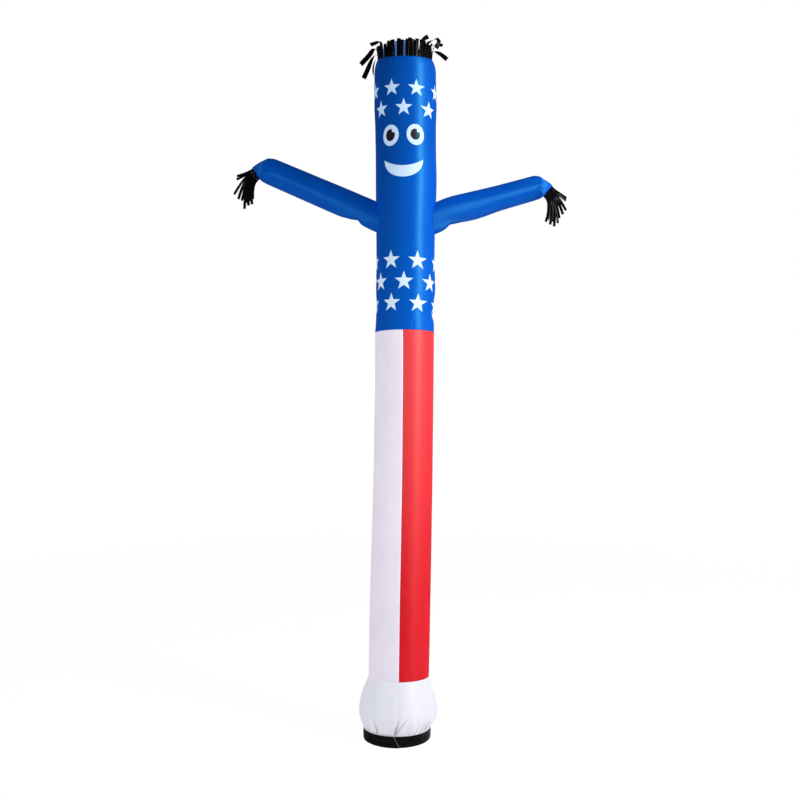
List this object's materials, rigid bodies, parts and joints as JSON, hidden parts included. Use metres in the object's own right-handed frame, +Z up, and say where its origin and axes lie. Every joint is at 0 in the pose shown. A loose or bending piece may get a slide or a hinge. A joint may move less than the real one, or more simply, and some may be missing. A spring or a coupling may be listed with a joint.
{
  "type": "inflatable air dancer",
  "caption": "Inflatable air dancer of thin cloth: a starred blue upper body with a smiling face and two arms, white and red lower panels, ribbon fringes and a gathered base held by a strap.",
  "frame": {"origin": "on the floor, under the middle of the whole dancer's box", "axes": "+Z up along the tube, +X towards the arm on the viewer's right, the face looks towards -Y"},
  "size_m": [1.4655, 0.3491, 3.0542],
  "materials": {
    "blue_cloth": "satin",
    "white_cloth": "satin",
    "red_cloth": "satin",
    "black_strap": "matt",
    "black_ribbon": "glossy",
    "blue_ribbon": "glossy"
  },
  "bodies": {
    "root": {"body_blue": "blue_cloth", "sleeve_left": "blue_cloth", "sleeve_right": "blue_cloth", "panel_white": "white_cloth", "panel_red_front": "red_cloth", "panel_red_side": "red_cloth", "base_skirt": "white_cloth", "base_band": "black_strap", "head_fringe_outer": "black_ribbon", "head_fringe_inner": "black_ribbon", "head_fringe_blue": "blue_ribbon", "hand_fringe_left": "black_ribbon", "hand_fringe_right": "black_ribbon"}
  },
  "joints": []
}
